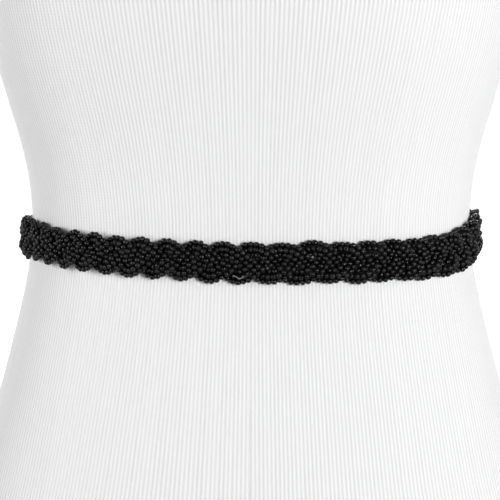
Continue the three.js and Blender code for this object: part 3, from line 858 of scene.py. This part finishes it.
def wound_cap(side, label):
    """A barrel of thread wound round one end of the braid."""
    end = PATH_RIGHT if side > 0 else PATH_LEFT
    start = end - side * (BRAID_END_GAP - SEAM)
    origin, along, up, out = belt_frame(start + side * CAP["length"] / 2)
    centre = origin + out * (BELT_OUT + CAP["out"])
    outline = named(CAP_COLUMNS, CAP_OUTLINE)
    x = np.linspace(0, CAP["length"], CAP_THREAD["along"])
    turn = np.arange(CAP_THREAD["around"]) / CAP_THREAD["around"] * TURN
    from_end = np.minimum(x, CAP["length"] - x)
    girth = np.interp(from_end, outline["from_end"], outline["girth"])
    thread = np.abs(np.sin(math.pi * (x[:, None] / CAP_THREAD["pitch"] + turn[None] / TURN)))
    reach = girth[:, None] - CAP_THREAD["groove"] * (1 - thread)
    place = (x - CAP["length"] / 2)[:, None, None] * along
    wide = (CAP["half_width"] * reach * np.cos(turn))[..., None] * up
    thick = (CAP["half_thickness"] * reach * np.sin(turn))[..., None] * out
    rings = centre + place + wide + thick
    shape = Shape()
    facing = rings if np.dot(np.cross(up, out), along) > 0 else rings[:, ::-1]
    add_loft(shape, facing)
    shape.make(f"wound_cap_{label}", THREAD, "thread", [f"end_cap_{label}"])


def tie_cord(side, label):
    """The short twisted cord from one cap into the knot."""
    end = PATH_RIGHT if side > 0 else PATH_LEFT
    cap_end = BRAID_END_GAP - 2 * SEAM - CAP["length"]
    knot_edge = KNOT["size"] * KNOT["waist"] + KNOT["radius"] + SEAM
    share = np.linspace(0, 1, TIE_CORD["points"])
    arcs = end - side * lerp(cap_end + TIE_CORD["overlap"], knot_edge - TIE_CORD["overlap"], share)
    line = on_belt(arcs, np.zeros(len(arcs)), lerp(TIE["out"], KNOT["out"], share))
    shape = Shape()
    add_cord(shape, line, TIE["radius"], UPWARDS, TIE_CORD)
    shape.make(f"twisted_tie_{label}", THREAD, "thread", [f"tie_cord_{label}"])


def knot():
    """One cord in a closed overhand knot, flat on the back."""
    origin, along, up, out = belt_frame(PATH_RIGHT)
    middle = origin + out * (BELT_OUT + KNOT["out"])
    turn = np.arange(KNOT_CORD["points"])[:, None] / KNOT_CORD["points"] * TURN
    reach = KNOT["size"] * (2 + np.cos(3 * turn))
    line = middle + along * reach * np.sin(2 * turn) - up * reach * np.cos(2 * turn) * KNOT["flat"]
    line = line + out * KNOT["depth"] * np.sin(3 * turn)
    shape = Shape()
    add_cord(shape, line, KNOT["radius"], line - middle + out * KNOT_CORD["lean"], KNOT_CORD, closed=True)
    shape.make("knot", THREAD, "thread", ["tie_knot"])


def tassel_across(side, drop):
    """How far to its side a tassel's middle line is, where the tassels spread apart as they hang."""
    return side * (TASSEL["apart"] + TASSEL["splay"] * np.maximum(drop - HEAD_TOP, 0))


def add_neck(shape, side):
    """Adds the cord from the knot into a tassel's head."""
    share = np.linspace(0, 1, NECK_CORD["points"])
    across = lerp(side * NECK["start"], tassel_across(side, HEAD_TOP), share)
    length = NECK["length"] + NECK["in_head"] + NECK_CORD["overlap"]
    drop = NECK_TOP - NECK_CORD["overlap"] + share * length
    line = behind(across, drop, lerp(BELT_OUT + KNOT["out"], HEAD_MIDDLE, share))
    add_cord(shape, line, NECK["radius"], BACKWARDS, NECK_CORD, THREAD_SHADE)


def head_size(share, inset):
    """A tassel head's half width and half thickness at a share of its height, a little under its surface."""
    girth = np.interp(share, head_table["share"], head_table["girth"])
    return HEAD["half_width"] * girth - inset, HEAD_THICK * girth - inset


def head_ring(side, share, sides, inset):
    """Points round a tassel's head at a share of its height."""
    turn = np.arange(sides) / sides * TURN
    drop = HEAD_TOP + share * HEAD["height"]
    half_wide, half_thick = head_size(share, inset)
    across = tassel_across(side, drop) + half_wide * np.cos(turn)
    return behind(across, drop, HEAD_MIDDLE + half_thick * np.sin(turn))


def oval_length(a, b):
    """The length round an oval with these two half widths, to a close estimate."""
    return math.pi * (3 * (a + b) - math.sqrt((3 * a + b) * (a + 3 * b)))


def add_head(shape, side):
    """Adds a tassel's head: rows of beads round a core of wound thread."""
    shares = np.linspace(HEAD_CORE["start"], HEAD_CORE["end"], HEAD_CORE["rings"])
    core = [head_ring(side, share, HEAD_CORE["sides"], HEAD_CORE["inset"]) for share in shares]
    add_loft(shape, core, THREAD_SHADE)
    inset = TASSEL_BEAD["radius"]
    for row in range(HEAD_BEADS["rows"]):
        share = (row + HEAD_BEADS["first"]) / HEAD_BEADS["spread"]
        around = oval_length(*head_size(share, inset))
        count = max(HEAD_BEADS["fewest"], round(around / (HEAD_BEADS["pitch"] * TASSEL_BEAD["pitch"])))
        ring = head_ring(side, share, count, inset)
        along = np.roll(ring, -1, 0) - np.roll(ring, 1, 0)
        add_beads(shape, ring, along, ring - ring.mean(0), TASSEL_BEAD)


def add_strands(shape, side):
    """Adds a tassel's strands of beads, which follow the form down and end unevenly."""
    rows = named(ROW_COLUMNS, STRAND_ROWS)
    for row, (count, root_out, end_out) in enumerate(zip(*rows.values())):
        for i in range(int(count)):
            place = i - (count - 1) / 2
            wave = math.sin(ENDS["per_strand"] * place + ENDS["per_row"] * row + side)
            length = STRAND["length"] + ENDS["uneven"] * wave
            drop = np.arange(HEAD_END + STRAND_BEADS["first"], HEAD_END + length, TASSEL_BEAD["pitch"])
            share = (drop - HEAD_END) / length
            across = tassel_across(side, drop)
            across = across + place * lerp(STRAND["root_pitch"], STRAND["end_pitch"], share)
            sway = STRAND_BEADS["sway"] * share * smooth_noise(len(drop), 1, STRAND_BEADS["wave"])
            line = behind(across + sway, drop, lerp(root_out, end_out, share))
            add_string(shape, line, np.broadcast_to(BACKWARDS, line.shape), TASSEL_BEAD)


def tassel(side, label):
    """A beaded head on a short neck of cord, and its strands of beads."""
    shape = Shape()
    add_neck(shape, side)
    add_head(shape, side)
    add_strands(shape, side)
    shape.make(f"bead_tassel_{label}", BEADS, "beads", [f"tassel_{label}"])


# Studio


def studio_floor():
    """A pale floor that the camera sees as white."""
    reach = FLOOR["reach"]
    points = [(-reach, -reach, 0), (reach, -reach, 0), (reach, reach, 0), (-reach, reach, 0)]
    mesh = bpy.data.meshes.new("studio_floor")
    mesh.from_pydata(points, [], [(0, 1, 2, 3)])
    nodes = Nodes("studio_floor")
    nodes.set("Base Color", (FLOOR["grey"], FLOOR["grey"], FLOOR["grey"], 1))
    nodes.set("Roughness", 1.0)
    nodes.set("Emission Color", (1, 1, 1, 1))
    nodes.set("Emission Strength", nodes.node("ShaderNodeLightPath").outputs["Is Camera Ray"])
    mesh.materials.append(nodes.material)
    floor = bpy.data.objects.new("studio_floor", mesh)
    bpy.context.scene.collection.objects.link(floor)
    floor.location.z = FLOOR["height"]


def studio_light(name, place, size, radiance):
    """A soft panel with a given brightness, from a place towards the belt."""
    light = bpy.data.lights.new(name, "AREA")
    light.shape = "RECTANGLE"
    light.size, light.size_y = size
    light.energy = radiance * math.pi * size[0] * size[1]
    lamp = bpy.data.objects.new(name, light)
    lamp.location = place
    direction = Vector(np.subtract(AIM, place))
    lamp.rotation_euler = direction.to_track_quat("-Z", "Y").to_euler()
    bpy.context.scene.collection.objects.link(lamp)


def studio_world():
    """A white backdrop behind the object, and a dimmer room where it isn't looked at."""
    world = bpy.data.worlds.new("studio")
    world.use_nodes = True
    tree = world.node_tree
    background = tree.nodes["Background"]
    seen = tree.nodes.new("ShaderNodeLightPath")
    strength = tree.nodes.new("ShaderNodeMapRange")
    strength.inputs["To Min"].default_value = WORLD["room"]
    strength.inputs["To Max"].default_value = WORLD["backdrop"]
    tree.links.new(seen.outputs["Is Camera Ray"], strength.inputs["Value"])
    tree.links.new(strength.outputs["Result"], background.inputs["Strength"])
    background.inputs["Color"].default_value = (1, 1, 1, 1)
    bpy.context.scene.world = world


def photo_camera():
    """The camera at the photograph's viewing angle."""
    data = bpy.data.cameras.new("camera")
    data.lens = CAMERA["lens"]
    data.sensor_width = CAMERA["sensor"]
    data.shift_x = CAMERA["shift"]
    data.clip_start = CLIP_START
    camera = bpy.data.objects.new("camera", data)
    elevation = math.radians(CAMERA["elevation"])
    distance = CAMERA["distance"] * MM
    height = CAMERA["aim_height"] * MM + distance * math.sin(elevation)
    camera.location = (0, -distance * math.cos(elevation), height)
    camera.rotation_euler = (math.pi / 2 - elevation, 0, 0)
    bpy.context.scene.collection.objects.link(camera)
    bpy.context.scene.camera = camera
    bpy.context.scene.view_settings.view_transform = "Standard"


knit_form()
braid()
loose_thread()
for cap_side, cap_label in ((-1, "left"), (1, "right")):
    wound_cap(cap_side, cap_label)
    tie_cord(cap_side, cap_label)
    tassel(cap_side, cap_label)
knot()
studio_floor()
for light_row in LIGHTS:
    studio_light(**dict(zip(LIGHT_COLUMNS, light_row)))
studio_world()
photo_camera()
